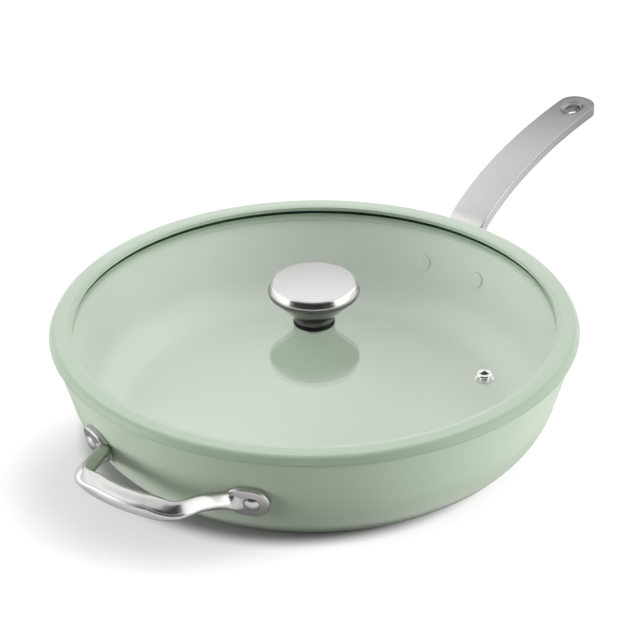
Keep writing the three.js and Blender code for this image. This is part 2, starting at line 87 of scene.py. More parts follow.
def ceramicCoating(name, look):
    material, tree = newMaterial(name)
    place = addNode(tree, "ShaderNodeTexCoord").outputs["Object"]
    mottle = addNode(tree, "ShaderNodeTexNoise", {
        "Vector": place, "Scale": 1 / (look["mottle"] * mm), "Detail": 4, "Roughness": 0.6}).outputs["Fac"]
    peel = addNode(tree, "ShaderNodeTexNoise", {
        "Vector": place, "Scale": 1 / (look["peel"] * mm), "Detail": 1})
    tone = addNode(tree, "ShaderNodeMix", {
        "Factor": mottle, "A": linear(look["colour"]), "B": linear(look["shade"])}, data_type="RGBA")
    gloss = addNode(tree, "ShaderNodeMapRange", {
        "Value": mottle, "To Min": look["gloss"][0], "To Max": look["gloss"][1]})
    # painted shade: the colour is scaled down by height, low on the outside and up the wall inside; the bloom
    # fades with it
    height = addNode(tree, "ShaderNodeSeparateXYZ", {"Vector": place}).outputs["Z"]
    depth = addNode(tree, "ShaderNodeMapRange", {
        "Value": height, "From Min": look["heights"][0] * mm, "From Max": look["heights"][1] * mm,
        "To Min": look["paintedShadeScales"][0], "To Max": look["paintedShadeScales"][1]}, interpolation_type="SMOOTHSTEP")
    tone = addNode(tree, "ShaderNodeVectorMath", {
        0: tone.outputs["Result"], "Scale": depth.outputs["Result"]}, operation="SCALE")
    fall = addNode(tree, "ShaderNodeMath", {
        0: depth.outputs["Result"], 1: look["bloomFall"]}, operation="POWER")
    bloom = addNode(tree, "ShaderNodeMath", {
        0: fall.outputs["Value"], 1: look["bloom"]}, operation="MULTIPLY")
    bump = addNode(tree, "ShaderNodeBump", {
        "Height": peel.outputs["Fac"], "Strength": 0.12, "Distance": look["peelDepth"] * mm})
    shader = addNode(tree, "ShaderNodeBsdfPrincipled", {
        "Base Color": tone.outputs["Vector"], "Roughness": gloss.outputs["Result"],
        "Normal": bump.outputs["Normal"], "IOR": look["ior"], "Sheen Weight": bloom.outputs["Value"],
        "Sheen Roughness": look["bloomSpread"]})
    addNode(tree, "ShaderNodeOutputMaterial", {"Surface": shader.outputs["BSDF"]})
    return material


# Silicone, compression moulded: soft matt skin with a fine mould grain and a pale bloom at grazing angles
siliconeLook = dict(colour="#7F927C", shade="#7A8D77", bloom=0.64, bloomSpread=0.55, gloss=(0.42, 0.5),
                    grain=0.7, grainDepth=0.04, cloud=9, ior=1.43)

# painted shade: the channel that grips the glass, where no light gets in, is coloured near black, with no
# bloom
channelShadeLook = dict(siliconeLook, colour="#1E2B1F", shade="#1A271B", bloom=0)


def mouldedSilicone(name, look):
    material, tree = newMaterial(name)
    place = addNode(tree, "ShaderNodeTexCoord").outputs["Object"]
    grain = addNode(tree, "ShaderNodeTexNoise", {
        "Vector": place, "Scale": 1 / (look["grain"] * mm), "Detail": 2}).outputs["Fac"]
    cloud = addNode(tree, "ShaderNodeTexNoise", {
        "Vector": place, "Scale": 1 / (look["cloud"] * mm), "Detail": 3}).outputs["Fac"]
    tone = addNode(tree, "ShaderNodeMix", {
        "Factor": cloud, "A": linear(look["colour"]), "B": linear(look["shade"])}, data_type="RGBA")
    gloss = addNode(tree, "ShaderNodeMapRange", {
        "Value": grain, "To Min": look["gloss"][0], "To Max": look["gloss"][1]})
    bump = addNode(tree, "ShaderNodeBump", {
        "Height": grain, "Strength": 0.15, "Distance": look["grainDepth"] * mm})
    shader = addNode(tree, "ShaderNodeBsdfPrincipled", {
        "Base Color": tone.outputs["Result"], "Roughness": gloss.outputs["Result"],
        "Normal": bump.outputs["Normal"], "IOR": look["ior"], "Sheen Weight": look["bloom"],
        "Sheen Roughness": look["bloomSpread"]})
    addNode(tree, "ShaderNodeOutputMaterial", {"Surface": shader.outputs["BSDF"]})
    return material


# Tempered glass, polished: clear with a slight green cast; lamp rays pass straight through it
glassLook = dict(colour="#FCFEFC", ior=1.5)


def temperedGlass(look):
    material, tree = newMaterial("polishedTemperedGlass")
    glass = addNode(tree, "ShaderNodeBsdfPrincipled", {
        "Base Color": linear(look["colour"]), "Roughness": 0.0, "IOR": look["ior"],
        "Transmission Weight": 1.0})
    clear = addNode(tree, "ShaderNodeBsdfTransparent", {"Color": linear(look["colour"])})
    rays = addNode(tree, "ShaderNodeLightPath")
    mix = addNode(tree, "ShaderNodeMixShader", {
        0: rays.outputs["Is Shadow Ray"], 1: glass.outputs["BSDF"], 2: clear.outputs["BSDF"]})
    addNode(tree, "ShaderNodeOutputMaterial", {"Surface": mix.outputs["Shader"]})
    return material


# Cast stainless steel, polished by hand: bright, with slow waves and a fine haze left by the wheel; along
# the long handle it turns satin, and painted shade darkens its colour towards the tip
castLook = dict(colour="#BDBCBA", haze="#B0AFAD", gloss=(0.17, 0.29), wave=14, waveDepth=0.3, hazeSize=1.2,
                tipShade=0.46, tipShadeFrom=170, tipShadeTo=270, satin=0.1, satinFrom=156, satinTo=166)


def polishedCastSteel(look):
    material, tree = newMaterial("polishedCastSteel")
    place = addNode(tree, "ShaderNodeTexCoord").outputs["Object"]
    wave = addNode(tree, "ShaderNodeTexNoise", {
        "Vector": place, "Scale": 1 / (look["wave"] * mm), "Detail": 1})
    haze = addNode(tree, "ShaderNodeTexNoise", {
        "Vector": place, "Scale": 1 / (look["hazeSize"] * mm), "Detail": 4, "Roughness": 0.65}).outputs["Fac"]
    tone = addNode(tree, "ShaderNodeMix", {
        "Factor": haze, "A": linear(look["colour"]), "B": linear(look["haze"])}, data_type="RGBA")
    gloss = addNode(tree, "ShaderNodeMapRange", {
        "Value": haze, "To Min": look["gloss"][0], "To Max": look["gloss"][1]})
    along = addNode(tree, "ShaderNodeSeparateXYZ", {"Vector": place}).outputs["X"]
    # painted shade: the colour darkens along the handle towards the tip
    tipShade = addNode(tree, "ShaderNodeMapRange", {
        "Value": along, "From Min": look["tipShadeFrom"] * mm, "From Max": look["tipShadeTo"] * mm,
        "To Min": 1.0, "To Max": look["tipShade"]})
    tone = addNode(tree, "ShaderNodeVectorMath", {
        0: tone.outputs["Result"], "Scale": tipShade.outputs["Result"]}, operation="SCALE")
    satin = addNode(tree, "ShaderNodeMapRange", {
        "Value": along, "From Min": look["satinFrom"] * mm, "From Max": look["satinTo"] * mm,
        "To Max": look["satin"]})
    gloss = addNode(tree, "ShaderNodeMath", {
        0: gloss.outputs["Result"], 1: satin.outputs["Result"]}, operation="ADD")
    bump = addNode(tree, "ShaderNodeBump", {
        "Height": wave.outputs["Fac"], "Strength": 0.1, "Distance": look["waveDepth"] * mm})
    shader = addNode(tree, "ShaderNodeBsdfPrincipled", {
        "Base Color": tone.outputs["Vector"], "Roughness": gloss.outputs["Value"],
        "Normal": bump.outputs["Normal"], "Metallic": 1.0})
    addNode(tree, "ShaderNodeOutputMaterial", {"Surface": shader.outputs["BSDF"]})
    return material


# Stainless steel, turned and brushed: fine rings round the axis that spread the light across them; the
# knob is satin on its flat top, and painted shade darkens its colour low on its flare
brushedLook = dict(colour="#D8D7D4", groove="#C6C5C2", gloss=(0.2, 0.32), line=0.35, lineDepth=0.05,
                   under=1, flareShadeFrom=0, flareShadeTo=1, satin=0, satinFrom=0, satinTo=1)
knobLook = dict(brushedLook, colour="#CAC9C7", groove="#C0BFBD", gloss=(0.16, 0.22), line=0.3,
                under=0.24, flareShadeFrom=86.8, flareShadeTo=91.9, satin=0.22, satinFrom=95.9, satinTo=96.2)


def turnedSteel(name, look, axis):
    material, tree = newMaterial(name)
    place = addNode(tree, "ShaderNodeTexCoord").outputs["Object"]
    centred = addNode(tree, "ShaderNodeVectorMath", {
        0: place, 1: (axis[0], axis[1], 0)}, operation="SUBTRACT")
    parts = addNode(tree, "ShaderNodeSeparateXYZ", {"Vector": centred.outputs["Vector"]})
    flat = addNode(tree, "ShaderNodeCombineXYZ", {"X": parts.outputs["X"], "Y": parts.outputs["Y"]})
    reach = addNode(tree, "ShaderNodeVectorMath", {0: flat.outputs["Vector"]}, operation="LENGTH")
    around = addNode(tree, "ShaderNodeCombineXYZ", {"X": reach.outputs["Value"], "Y": parts.outputs["Z"]})
    lines = addNode(tree, "ShaderNodeTexNoise", {
        "Vector": around.outputs["Vector"], "Scale": 1 / (look["line"] * mm), "Detail": 3,
        "Roughness": 0.7}).outputs["Fac"]
    tone = addNode(tree, "ShaderNodeMix", {
        "Factor": lines, "A": linear(look["colour"]), "B": linear(look["groove"])}, data_type="RGBA")
    gloss = addNode(tree, "ShaderNodeMapRange", {
        "Value": lines, "To Min": look["gloss"][0], "To Max": look["gloss"][1]})
    # painted shade: the colour is scaled down low on the knob's flare
    flareShade = addNode(tree, "ShaderNodeMapRange", {
        "Value": parts.outputs["Z"], "From Min": look["flareShadeFrom"] * mm, "From Max": look["flareShadeTo"] * mm,
        "To Min": look["under"]}, interpolation_type="SMOOTHSTEP")
    tone = addNode(tree, "ShaderNodeVectorMath", {
        0: tone.outputs["Result"], "Scale": flareShade.outputs["Result"]}, operation="SCALE")
    satin = addNode(tree, "ShaderNodeMapRange", {
        "Value": parts.outputs["Z"], "From Min": look["satinFrom"] * mm, "From Max": look["satinTo"] * mm,
        "To Max": look["satin"]})
    gloss = addNode(tree, "ShaderNodeMath", {
        0: gloss.outputs["Result"], 1: satin.outputs["Result"]}, operation="ADD")
    bump = addNode(tree, "ShaderNodeBump", {
        "Height": lines, "Strength": 0.08, "Distance": look["lineDepth"] * mm})
    shader = addNode(tree, "ShaderNodeBsdfPrincipled", {
        "Base Color": tone.outputs["Vector"], "Roughness": gloss.outputs["Value"],
        "Normal": bump.outputs["Normal"], "Metallic": 1.0})
    addNode(tree, "ShaderNodeOutputMaterial", {"Surface": shader.outputs["BSDF"]})
    return material


# Black silicone, die cut: deep matt black with a faint grain
gasketLook = dict(colour="#0C0D0C", shade="#080908", gloss=(0.6, 0.75), grain=0.5, ior=1.25)


def blackSilicone(look):
    material, tree = newMaterial("cutBlackSilicone")
    place = addNode(tree, "ShaderNodeTexCoord").outputs["Object"]
    grain = addNode(tree, "ShaderNodeTexNoise", {
        "Vector": place, "Scale": 1 / (look["grain"] * mm), "Detail": 2}).outputs["Fac"]
    tone = addNode(tree, "ShaderNodeMix", {
        "Factor": grain, "A": linear(look["colour"]), "B": linear(look["shade"])}, data_type="RGBA")
    gloss = addNode(tree, "ShaderNodeMapRange", {
        "Value": grain, "To Min": look["gloss"][0], "To Max": look["gloss"][1]})
    shader = addNode(tree, "ShaderNodeBsdfPrincipled", {
        "Base Color": tone.outputs["Result"], "Roughness": gloss.outputs["Result"], "IOR": look["ior"]})
    addNode(tree, "ShaderNodeOutputMaterial", {"Surface": shader.outputs["BSDF"]})
    return material


ventBox = np.array(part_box("steam_vent_eyelet"))
ventPlace = ventBox.mean(axis=0)
ventShift = ventPlace / mm * [1, 1, 0]
coating = ceramicCoating("sprayedCeramicCoating", coatingLook)
insideCoating = ceramicCoating("smoothCeramicCoating", insideLook)
silicone = mouldedSilicone("mouldedSilicone", siliconeLook)
channelShadeSilicone = mouldedSilicone("mouldedSiliconeChannelShade", channelShadeLook)
glass = temperedGlass(glassLook)
castSteel = polishedCastSteel(castLook)
lidSteel = turnedSteel("turnedStainlessSteel", brushedLook, (0, 0))
ventSteel = turnedSteel("turnedVentSteel", brushedLook, ventPlace[:2])
knobSteel = turnedSteel("brushedKnobSteel", knobLook, (0, 0))
gasketBlack = blackSilicone(gasketLook)
print("materials made")


# Surfaces

# a rounded outline: each corner (across, up, rounding) becomes an arc that touches both of its sides
def softCorners(corners, closed=False, steps=9):
    table = np.array(corners, float)
    point, rounding = table[:, :2], table[:, 2:]
    back = np.roll(point, 1, axis=0) - point
    ahead = np.roll(point, -1, axis=0) - point
    back /= np.linalg.norm(back, axis=1, keepdims=True)
    ahead /= np.linalg.norm(ahead, axis=1, keepdims=True)
    facing = (back * ahead).sum(axis=1, keepdims=True)
    half = np.arccos(np.clip(facing, -0.9999, 0.9999)) / 2
    middle = point + (back + ahead) / (2 * np.cos(half)) * rounding / np.sin(half)
    start = point + back * rounding / np.tan(half) - middle
    end = point + ahead * rounding / np.tan(half) - middle
    turn = (np.pi - 2 * half)[:, None, :]
    share = np.linspace(0, 1, steps)[None, :, None]
    swing = np.sin((1 - share) * turn) * start[:, None] + np.sin(share * turn) * end[:, None]
    outline = (middle[:, None] + swing / np.sin(turn)).reshape(-1, 2)
    return np.vstack([outline, outline[:1]]) if closed else outline


# a profile (radius, height) turned once round the Z axis
def turned(profile, turns=192):
    angle = np.linspace(0, 2 * np.pi, turns + 1)[:, None]
    radius, height = profile[:, 0], profile[:, 1]
    return np.stack([radius * np.cos(angle), radius * np.sin(angle), height + 0 * angle], axis=-1)


# a cubic between its first and last points, pulled by the two in the middle
def cubic(t, first, second, third, last):
    back = 1 - t
    return back ** 3 * first + 3 * back ** 2 * t * second + 3 * back * t ** 2 * third + t ** 3 * last


# the four-cornered faces between the rows and columns of a grid
def gridFaces(rows, columns, first):
    index = first + np.arange(rows * columns).reshape(rows, columns)
    corners = [index[:-1, :-1], index[1:, :-1], index[1:, 1:], index[:-1, 1:]]
    return np.stack(corners, axis=-1).reshape(-1, 4)


# edges that turn by more than this many degrees stay sharp
sharpTurn = 38


# grids in mm become one mesh in metres: seams and poles merge, and all faces are turned outwards
def makePiece(name, grids, material):
    faces, first = [], 0
    for grid in grids:
        faces.append(gridFaces(*grid.shape[:2], first))
        first += grid[..., 0].size
    points = np.vstack([grid.reshape(-1, 3) for grid in grids]) * mm
    mesh = bpy.data.meshes.new(name)
    mesh.from_pydata(points.tolist(), [], np.vstack(faces).tolist())
    work = bmesh.new()
    work.from_mesh(mesh)
    bmesh.ops.remove_doubles(work, verts=work.verts, dist=0.002 * mm)
    bmesh.ops.dissolve_degenerate(work, edges=work.edges, dist=0.001 * mm)
    bmesh.ops.recalc_face_normals(work, faces=work.faces)
    work.to_mesh(mesh)
    work.free()
    mesh.shade_smooth()
    mesh.set_sharp_from_angle(angle=np.radians(sharpTurn))
    mesh.materials.append(material)
    piece = bpy.data.objects.new(name, mesh)
    bpy.context.scene.collection.objects.link(piece)
    return piece


# joins or cuts two closed pieces and keeps the first
def combine(piece, other, operation):
    modifier = piece.modifiers.new("combine", "BOOLEAN")
    modifier.object = other
    modifier.operation = operation
    modifier.solver = "EXACT"
    ready = piece.evaluated_get(bpy.context.evaluated_depsgraph_get())
    result = bpy.data.meshes.new_from_object(ready)
    piece.modifiers.clear()
    piece.data = result
    bpy.data.objects.remove(other)
    piece.data.shade_smooth()
    piece.data.set_sharp_from_angle(angle=np.radians(sharpTurn))


# the middle of each face, in mm
def faceMiddles(piece):
    middles = np.empty(3 * len(piece.data.polygons))
    piece.data.polygons.foreach_get("center", middles)
    return middles.reshape(-1, 3) / mm


# a second material on the chosen faces
def giveFaces(piece, material, chosen):
    piece.data.materials.append(material)
    piece.data.polygons.foreach_set("material_index", chosen.astype(np.int32))


# ties a piece to its body and hides the node that it replaces
def standsFor(piece, node, body):
    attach(piece, body)
    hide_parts(node)


# 0 below the low value, 1 above the high one, smooth between them
def smoothStep(value, low, high):
    share = np.clip((value - low) / (high - low), 0, 1)
    return share * share * (3 - 2 * share)


# running length along a path, with each step raised to a power
def runAlong(path, power=1):
    steps = np.linalg.norm(np.diff(path, axis=0), axis=1)
    return np.concatenate([[0], np.cumsum(steps ** power)])


# points of a path at the given running lengths
def pathAt(at, run, path):
    return np.stack([np.interp(at, run, part) for part in path.T], axis=-1)


# Pan body

panSize = dict(rimRadius=150.3, rimHeight=63.7, lean=16.7, lift=29.5, corner=50, wall=3, floor=5,
               insideCorner=30, rimRound=0.9, footRound=3, recessRadius=98.3, recess=1.5)
lean, lift = np.radians([panSize["lean"], panSize["lift"]])
rimRadius, rimHeight = panSize["rimRadius"], panSize["rimHeight"]
drop = (rimHeight + panSize["corner"] * (np.sin(lean) - np.cos(lift))) / np.cos(lean)
cornerX = rimRadius - panSize["corner"] * np.cos(lean) - drop * np.sin(lean)
cornerZ = panSize["corner"] * np.cos(lift)
baseRadius = cornerX + panSize["corner"] * np.sin(lift)


# radius of the straight part of the outside, carried on to any height
def wallLine(height):
    return rimRadius + (height - rimHeight) * np.tan(lean)


# radius and downward tilt of the pan's outside: a leaning line above, an arc about the corner's centre below
def wallAt(height):
    height = np.asarray(height, float)
    dip = np.arcsin(np.clip((cornerZ - height) / panSize["corner"], np.sin(lean), 1))
    arc = cornerX + panSize["corner"] * np.cos(dip)
    return np.where(height >= cornerZ - panSize["corner"] * np.sin(lean), wallLine(height), arc), dip


# axes and origin of a frame on the wall: round the pan, up the wall and out of it
def wallFrame(azimuth, height):
    radius, dip = wallAt(height)
    around = np.array([-np.sin(azimuth), np.cos(azimuth), 0])
    out = np.array([np.cos(azimuth) * np.cos(dip), np.sin(azimuth) * np.cos(dip), -np.sin(dip)])
    origin = np.array([radius * np.cos(azimuth), radius * np.sin(azimuth), height])
    return np.stack([around, np.cross(out, around), out]), origin


# lays on the pan's outside whatever lies deeper than the given gap over it
def outsideWall(points, gap=0.3):
    reach = np.hypot(points[..., 0], points[..., 1])
    needed = wallAt(points[..., 2])[0] + gap / np.cos(lean)
    scale = np.maximum(1, needed / reach)[..., None]
    return points * np.concatenate([scale, scale, np.ones_like(scale)], axis=-1)


# one outline from the recess in the base up the outside, over the rim and down to the middle of the floor
def panBody(size):
    inner = size["wall"] / np.cos(lean)
    kneeRun = (wallLine(0) - baseRadius) / (np.cos(lift) - np.sin(lift) * np.tan(lean))
    knee = (baseRadius + kneeRun * np.cos(lift), kneeRun * np.sin(lift))
    profile = softCorners([
        (0, size["recess"], 0),
        (size["recessRadius"], size["recess"], 0.3),
        (size["recessRadius"], 0, 0.4),
        (baseRadius, 0, size["footRound"]),
        (*knee, size["corner"]),
        (rimRadius, rimHeight, size["rimRound"]),
        (rimRadius - inner, rimHeight, size["rimRound"]),
        (wallLine(size["floor"]) - inner, size["floor"], size["insideCorner"]),
        (0, size["floor"], 0)], steps=14)
    piece = makePiece("panBody", [turned(profile, 256)], coating)
    place = faceMiddles(piece)
    within = np.hypot(place[:, 0], place[:, 1]) < wallAt(place[:, 2])[0] - size["wall"] / 2
    giveFaces(piece, insideCoating, within & (place[:, 2] > size["floor"] - 0.5))
    return piece


standsFor(panBody(panSize), "pan_body", "pan")

discSize = dict(radius=98, border=2, thickness=1.2, edge=0.25, rings=14, ringDepth=0.12)


# the disc's underside carries shallow turned rings: its height is a cosine of the radius
def inductionDisc(size):
    ringed = size["radius"] - size["border"]
    radius = np.linspace(0, ringed, 240)
    wave = 0.5 - 0.5 * np.cos(2 * np.pi * size["rings"] * radius / ringed)
    under = np.stack([radius, size["ringDepth"] * wave], axis=-1)
    edge = softCorners([
        (ringed, 0, 0), (size["radius"], 0, size["edge"]),
        (size["radius"], size["thickness"], size["edge"]), (0, size["thickness"], 0)])
    return makePiece("inductionBaseDisc", [turned(np.vstack([under, edge]), 160)], lidSteel)


standsFor(inductionDisc(discSize), "induction_base_disc", "pan")
print("pan body and base disc made")


# Plates and rivets

plateSize = dict(gap=0.3, thickness=3.5, edge=1.2, crown=0.35)


# a plate with two round ends that follows the wall: rings inset from its outline climb over its rounded edge
def wallPlate(azimuth, height, fromX, toX, radius, size):
    turn = np.linspace(0, np.pi / 2, 8)
    inset = np.concatenate([
        [radius, 0], size["edge"] * (1 - np.cos(turn)), np.linspace(size["edge"], radius, 9)[1:]])
    top = size["gap"] + size["thickness"]
    dome = size["crown"] * (1 - (1 - np.linspace(0, 1, 9)[1:]) ** 2)
    out = np.concatenate([[size["gap"]] * 2, top - size["edge"] * (1 - np.sin(turn)), top + dome])
    swing = np.linspace(-np.pi / 2, np.pi / 2, 33)
    angle = np.concatenate([swing, swing + np.pi, swing[:1]])
    middle = np.concatenate([np.full(33, toX), np.full(33, fromX), [toX]])
    across = middle + (radius - inset[:, None]) * np.cos(angle)
    along = (radius - inset[:, None]) * np.sin(angle)
    level = height + along * np.cos(lean)
    wall, dip = wallAt(level)
    reach = wall + out[:, None] * np.cos(dip)
    level = level - out[:, None] * np.sin(dip)
    bearing = azimuth + across / wallAt(height)[0]
    return np.stack([reach * np.cos(bearing), reach * np.sin(bearing), level], axis=-1)


rivetSize = dict(shank=2.5, innerHead=5, innerHeight=1.6, innerEdge=0.5, outerHead=4.9, outerHeight=2.2,
                 seat=0.06)


# a rivet turned about its own axis, then set in the wall; its head inside the pan is coated
def rivet(name, azimuth, height, size):
    inside = -panSize["wall"] - size["seat"]
    outside = plateSize["gap"] + plateSize["thickness"] + plateSize["crown"] + size["seat"]
    bow = np.linspace(0, np.pi / 2, 14)
    edge, rise = inside - size["innerEdge"], size["innerHeight"] - size["innerEdge"]
    innerDome = np.stack([size["innerHead"] * np.sin(bow), edge - rise * np.cos(bow)], axis=-1)
    cap = np.linspace(1, 0, 14) * 2 * np.arctan(size["outerHeight"] / size["outerHead"])
    ball = (size["outerHead"] ** 2 + size["outerHeight"] ** 2) / (2 * size["outerHeight"])
    outerDome = np.stack([
        ball * np.sin(cap), outside + size["outerHeight"] - ball * (1 - np.cos(cap))], axis=-1)
    stem = [(size["innerHead"], inside), (size["shank"], inside),
            (size["shank"], outside), (size["outerHead"], outside)]
    profile = np.vstack([innerDome, stem, outerDome])
    axes, origin = wallFrame(azimuth, height)
    piece = makePiece(name, [turned(profile, 48) @ axes + origin], castSteel)
    giveFaces(piece, insideCoating, (faceMiddles(piece) - origin) @ axes[2] < -1)
    return piece


# Long handle

handleSize = dict(rivetAngle=8, rivetHeight=36, flangeRadius=9, neckSlope=62, neckLead=14,
                  shoulder=(160.9, 66.6), shoulderSlope=30.4, shoulderLead=8, tip=(287.8, 93.2), tipSlope=1,
                  neckWidth=23.8, gripWidth=23.2, neckThickness=6.6, gripThickness=6.3, edge=0.6,
                  edgeShare=0.8, crown=0.25, tipLength=10.6, tipPower=2.1, holeInset=15.2,
                  holeLength=12.4, holeWidth=8.4, dish=3.2, dishDepth=1.7, dishPower=1.5)


# middle line of the handle in its upright plane: a cubic neck, then a quadratic grip whose end tangents meet
def handleLine(size):
    start = np.array([wallAt(size["rivetHeight"])[0] + plateSize["gap"], size["rivetHeight"]])
    shoulder, tip = np.array(size["shoulder"]), np.array(size["tip"])
    slopes = np.radians([size["neckSlope"], size["shoulderSlope"], size["tipSlope"]])
    leave, out, back = np.stack([np.cos(slopes), np.sin(slopes)], axis=-1)
    crest = shoulder + out * np.linalg.solve(np.stack([out, back], axis=-1), tip - shoulder)[0]
    steps = 200
    t = np.linspace(0, 1, steps)[:, None]
    first = start + size["neckLead"] * leave
    second = shoulder - size["shoulderLead"] * out
    neck = cubic(t, start, first, second, shoulder)
    grip = (1 - t) ** 2 * shoulder + 2 * (1 - t) * t * crest + t ** 2 * tip
    line = np.vstack([neck[:-1], grip])
    run = runAlong(line)
    return line, run, run[steps - 1]


# Each half of the handle is one grid: rows run along it, columns go from the middle, or from the hole's edge,
# over the top, round the side and back underneath. Near the tip the width follows a superellipse.
def longHandle(size):
    line, run, neckEnd = handleLine(size)
    length = run[-1]
    hole = length - size["holeInset"]
    halfHole, halfBore = size["holeLength"] / 2, size["holeWidth"] / 2
    swing = np.linspace(0, np.pi, 33)
    tipStart = length - size["tipLength"]
    rows = np.unique(np.round(np.concatenate([
        np.linspace(0, neckEnd, 26), np.linspace(neckEnd, tipStart, 60), hole - halfHole * np.cos(swing),
        hole - (halfHole + size["dish"]) * np.cos(swing),
        tipStart + size["tipLength"] * np.sin(np.linspace(0, np.pi / 2, 26))]), 4))
    grow = smoothStep(rows, neckEnd, tipStart)
    toTip = np.clip((rows - tipStart) / size["tipLength"], 0, 1)
    half = (size["neckWidth"] + (size["gripWidth"] - size["neckWidth"]) * grow) / 2
    half = half * (1 - toTip ** size["tipPower"]) ** (1 / size["tipPower"])
    thick = size["neckThickness"] + (size["gripThickness"] - size["neckThickness"]) * grow
    soft = size["edge"]
    edge = np.minimum(soft, half * size["edgeShare"])
    fromTip = np.clip(length - rows, 0, soft)
    thick = thick - 2 * soft + 2 * np.sqrt(soft ** 2 - (soft - fromTip) ** 2)
    bore = halfBore * np.sqrt(np.clip(1 - ((rows - hole) / halfHole) ** 2, 0, 1))
    bore = np.where(np.abs(rows - hole) >= halfHole - 1e-4, 0, bore)

    edge, half, bore, thick = edge[:, None], half[:, None], bore[:, None], thick[:, None]
    across = 1 - np.cos(np.linspace(0, np.pi / 2, 15))
    turn = np.linspace(0, np.pi / 2, 8)
    flat = bore + (np.maximum(half - edge, bore) - bore) * across
    corner = half - edge + edge * np.sin(turn)
    sideways = np.hstack([flat, corner[:, 1:], corner[:, ::-1], flat[:, ::-1][:, 1:]])
    rise = np.minimum(edge, thick / 2)
    upper = np.hstack([0 * flat + thick / 2, thick / 2 - rise * (1 - np.cos(turn[1:]))])
    onTop = np.hstack([flat, corner[:, 1:]])
    crown = size["crown"] * (1 - (onTop / np.maximum(half, 1e-6)) ** 2)
    away = np.hypot((rows[:, None] - hole) / halfHole, onTop / halfBore) - 1
    dish = size["dishDepth"] * (1 - smoothStep(away * halfBore, 0, size["dish"])) ** size["dishPower"]
    lower = np.hstack([-(thick / 2 - rise * (1 - np.cos(turn[::-1]))), 0 * flat[:, 1:] - thick / 2])
    level = np.hstack([upper + crown - dish, lower])

    place = pathAt(rows, run, line)
    tangent = pathAt(rows, run, np.gradient(line, run, axis=0))
    tangent /= np.linalg.norm(tangent, axis=1, keepdims=True)
    outward = place[:, :1] - tangent[:, 1:] * level
    upward = place[:, 1:] + tangent[:, :1] * level
    left = outsideWall(np.stack([outward, sideways, upward], axis=-1))
    inHole = np.abs(rows - hole) <= halfHole + 1e-4
    holeWall = left[inHole][:, [0, -1]]
    start = np.stack([left[0], np.broadcast_to(left[0].mean(axis=0) * [1, 0, 1], left[0].shape)])
    mirror = np.array([1, -1, 1])
    grids = [grid * side for grid in (left, holeWall, start) for side in (1, mirror)]
    grip = makePiece("longHandle", grids, castSteel)
    spread = wallAt(size["rivetHeight"])[0] * np.radians(size["rivetAngle"])
    flange = wallPlate(0, size["rivetHeight"], -spread, spread, size["flangeRadius"], plateSize)
    combine(grip, makePiece("longHandleFlange", [flange], castSteel), "UNION")
    return grip


standsFor(longHandle(handleSize), "long_handle", "pan")
for side, sign in (("left", 1), ("right", -1)):
    azimuth = sign * np.radians(handleSize["rivetAngle"])
    piece = rivet("longHandleRivet" + side.capitalize(), azimuth, handleSize["rivetHeight"], rivetSize)
    standsFor(piece, "long_handle_rivet_" + side, "pan")
print("long handle made")


# Helper handle

# the last four sizes are given in the bar, in the arms and at the lugs
helperSize = dict(rivetAngle=22.5, rivetHeight=35, lugRadius=10.2, lugLength=5, rootSpacing=12,
                  rootReach=4.2, rootLead=5, reach=33.8, bow=1.3, cornerReach=29, halfSpan=31, rise=4.5,
                  armRise=1.8, tilt=(14, 55, 107), width=(13.6, 9.6, 13), thickness=(11.2, 8.4, 3.6),
                  squareness=(2.2, 4.2, 3))


# a smooth path through points: cubic stretches whose end slopes come from the neighbours
def smoothPath(points, steps):
    points = np.array(points, float)
    knot = runAlong(points, 0.5)
    slope = np.gradient(points, knot, axis=0)
    at = np.linspace(0, knot[-1], steps)
    k = np.clip(np.searchsorted(knot, at, side="right") - 1, 0, len(knot) - 2)
    span = (knot[k + 1] - knot[k])[:, None]
    t = ((at - knot[k])[:, None]) / span
    start, end = (1 + 2 * t) * (1 - t) ** 2, t * t * (3 - 2 * t)
    lead, trail = t * (1 - t) ** 2 * span, t * t * (t - 1) * span
    path = start * points[k] + lead * slope[k] + end * points[k + 1] + trail * slope[k + 1]
    run = runAlong(path)
    return pathAt(np.linspace(0, run[-1], steps), run, path)


